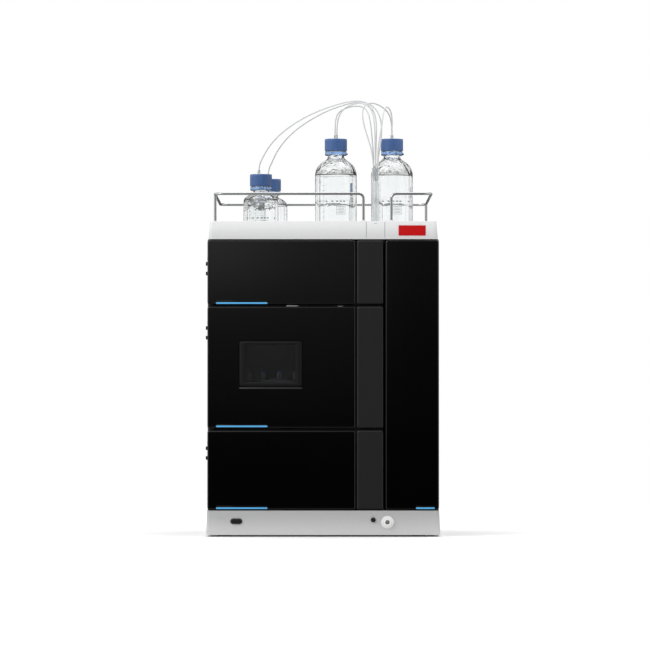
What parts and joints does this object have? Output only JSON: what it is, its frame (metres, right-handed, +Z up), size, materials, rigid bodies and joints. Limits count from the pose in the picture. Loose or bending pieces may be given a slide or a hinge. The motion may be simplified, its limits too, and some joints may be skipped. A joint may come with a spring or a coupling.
{
  "type": "liquid chromatography system",
  "caption": "Bench-top liquid chromatography tower: stacked pump, autosampler and detector modules beside a column compartment, with a bottle rack on top.",
  "frame": {"origin": "centre of the bounding box's footprint, at the foot of the rubber feet", "axes": "+Z up, front doors face -Y, +X to the right seen from the front"},
  "size_m": [0.5686, 0.6352, 1.0484],
  "materials": {
    "gloss_black": "high gloss black moulding",
    "matte_black": "fine matt dark grey moulding",
    "liner_black": "plain black inner panel",
    "housing_black": "textured powder coat on sheet metal",
    "base_grey": "light warm grey moulding, satin",
    "rack_grey": "near-white moulding, satin",
    "light_blue": "lit blue light guide",
    "window_glass": "smoked pane, polished",
    "bottle_glass": "clear borosilicate",
    "cap_blue": "blue polypropylene, satin",
    "clear_plastic": "clear fluoropolymer or acrylic",
    "chrome_wire": "polished bright wire",
    "steel": "turned stainless steel",
    "black_rubber": "soft black rubber",
    "port_white": "natural white plastic",
    "vial_glass": "clear glass vials with plain caps",
    "alloy": "anodised aluminium"
  },
  "bodies": {
    "tower": {"base_feet": "black_rubber", "base_housing": "base_grey", "bottle_half_litre_front": "bottle_glass", "bottle_half_litre_rear": "bottle_glass", "bottle_litre_left": "bottle_glass", "bottle_litre_right": "bottle_glass", "bottle_rail": "chrome_wire", "cap_inserts": "clear_plastic", "column_enclosure": "housing_black", "column_heater": "alloy", "column_hinges": "steel", "detector_enclosure": "housing_black", "drain_port_large": "port_white", "drain_port_small": "matte_black", "flow_cell": "steel", "injection_valve": "steel", "lamp_cover": "alloy", "line_half_litre_front": "clear_plastic", "line_half_litre_rear": "clear_plastic", "line_litre_left_a": "clear_plastic", "line_litre_left_b": "clear_plastic", "line_litre_right_a": "clear_plastic", "line_litre_right_b": "clear_plastic", "module_hinges": "steel", "power_switch_bezel": "matte_black", "pump_enclosure": "housing_black", "pump_heads": "steel", "purge_block": "steel", "rack_guide_block": "rack_grey", "rack_tray": "rack_grey", "sampler_enclosure": "housing_black", "separation_column": "steel", "side_clips": "matte_black", "status_plate": "base_grey", "tube_guide": "clear_plastic"},
    "pump_door": {"pump_door_panel": "gloss_black", "pump_door_strip": "matte_black", "pump_door_liner": "liner_black", "pump_light_bar": "light_blue"},
    "sampler_door": {"sampler_door_panel": "gloss_black", "sampler_door_strip": "matte_black", "sampler_door_liner": "liner_black", "sampler_light_bar": "light_blue", "sampler_window": "window_glass"},
    "detector_door": {"detector_door_panel": "gloss_black", "detector_door_strip": "matte_black", "detector_door_liner": "liner_black", "detector_light_bar": "light_blue"},
    "column_door": {"column_door_panel": "gloss_black", "column_door_liner": "liner_black", "column_light_bar": "light_blue"},
    "power_button": {"power_button": "matte_black"},
    "purge_knob": {"purge_knob": "matte_black"},
    "carousel": {"sampler_carousel": "alloy", "sample_vials": "vial_glass"},
    "needle_arm": {"needle_arm": "steel"},
    "cap_half_litre_front": {"cap_half_litre_front": "cap_blue"},
    "cap_half_litre_rear": {"cap_half_litre_rear": "cap_blue"},
    "cap_litre_left": {"cap_litre_left": "cap_blue"},
    "cap_litre_right": {"cap_litre_right": "cap_blue"}
  },
  "joints": [
    {"name": "pump_door_hinge", "type": "hinge", "parent": "tower", "child": "pump_door", "pos_m": [-0.2628, -0.29155, 0.159], "axis": [0, 0, -1], "range_deg": [0, 100]},
    {"name": "sampler_door_hinge", "type": "hinge", "parent": "tower", "child": "sampler_door", "pos_m": [-0.2628, -0.29155, 0.404], "axis": [0, 0, -1], "range_deg": [0, 100]},
    {"name": "detector_door_hinge", "type": "hinge", "parent": "tower", "child": "detector_door", "pos_m": [-0.2628, -0.29155, 0.631], "axis": [0, 0, -1], "range_deg": [0, 100]},
    {"name": "column_door_hinge", "type": "hinge", "parent": "tower", "child": "column_door", "pos_m": [0.2722, -0.29155, 0.386], "axis": [0, 0, 1], "range_deg": [0, 100]},
    {"name": "power_button_travel", "type": "slide", "parent": "tower", "child": "power_button", "axis": [0, 1, 0], "range_m": [0, 0.002], "stiffness_N_per_m": 600},
    {"name": "purge_knob_turn", "type": "hinge", "parent": "tower", "child": "purge_knob", "pos_m": [0.0202, -0.18755, 0.159], "axis": [0, 1, 0], "range_deg": [0, 270]},
    {"name": "carousel_turn", "type": "hinge", "parent": "tower", "child": "carousel", "pos_m": [-0.1018, -0.11155, 0.268], "axis": [0, 0, 1], "continuous": true},
    {"name": "needle_arm_swing", "type": "hinge", "parent": "tower", "child": "needle_arm", "pos_m": [0.0502, 0.02445, 0.268], "axis": [0, 0, 1], "range_deg": [0, 50]},
    {"name": "cap_half_litre_front_turn", "type": "hinge", "parent": "tower", "child": "cap_half_litre_front", "pos_m": [-0.1482, 0.00445, 0.86], "axis": [0, 0, 1], "range_deg": [0, 360]},
    {"name": "cap_half_litre_rear_turn", "type": "hinge", "parent": "tower", "child": "cap_half_litre_rear", "pos_m": [-0.1283, 0.23945, 0.86], "axis": [0, 0, 1], "range_deg": [0, 360]},
    {"name": "cap_litre_left_turn", "type": "hinge", "parent": "tower", "child": "cap_litre_left", "pos_m": [0.0354, -0.15555, 0.94], "axis": [0, 0, 1], "range_deg": [0, 360]},
    {"name": "cap_litre_right_turn", "type": "hinge", "parent": "tower", "child": "cap_litre_right", "pos_m": [0.1711, -0.15555, 0.94], "axis": [0, 0, 1], "range_deg": [0, 360]}
  ]
}
